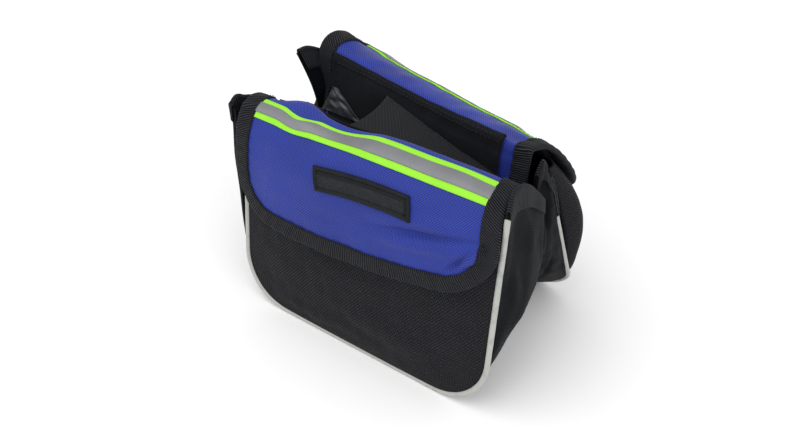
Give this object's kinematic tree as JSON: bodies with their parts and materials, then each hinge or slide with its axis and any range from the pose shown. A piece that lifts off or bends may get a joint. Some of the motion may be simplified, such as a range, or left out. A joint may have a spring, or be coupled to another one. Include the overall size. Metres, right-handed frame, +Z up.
{
  "type": "bicycle bag",
  "caption": "Double bicycle pannier that hangs over the top tube, with a bound blue flap, reflective tape along the folds and black mesh pouches standing on their seams.",
  "frame": {"origin": "middle of the bottom of the bag's box, on the surface that it stands on", "axes": "+X along the pouches to the end where they meet, +Y from the front pouch to the rear one, +Z up"},
  "size_m": [0.2114, 0.153, 0.1457],
  "materials": {
    "mesh": "coarse black mesh fabric",
    "nylon": "coated black nylon",
    "blue": "blue oxford weave",
    "binding": "ribbed black tape",
    "piping": "pale grey cord",
    "neon": "fluorescent green tape",
    "silver": "reflective grey tape",
    "rubber": "matt moulded patch"
  },
  "bodies": {
    "root": {"front_outer_panel": "mesh", "front_gusset": "nylon", "front_inner_panel": "nylon", "front_piping": "piping", "front_flap": "blue", "front_flap_binding": "binding", "front_neon_tape": "neon", "front_silver_tape": "silver", "rear_outer_panel": "mesh", "rear_gusset": "nylon", "rear_inner_panel": "nylon", "rear_piping": "piping", "rear_flap": "blue", "rear_flap_binding": "binding", "rear_neon_tape": "neon", "rear_silver_tape": "silver", "label_patch": "rubber", "saddle_panel": "nylon", "tube_strap": "binding"}
  },
  "joints": []
}
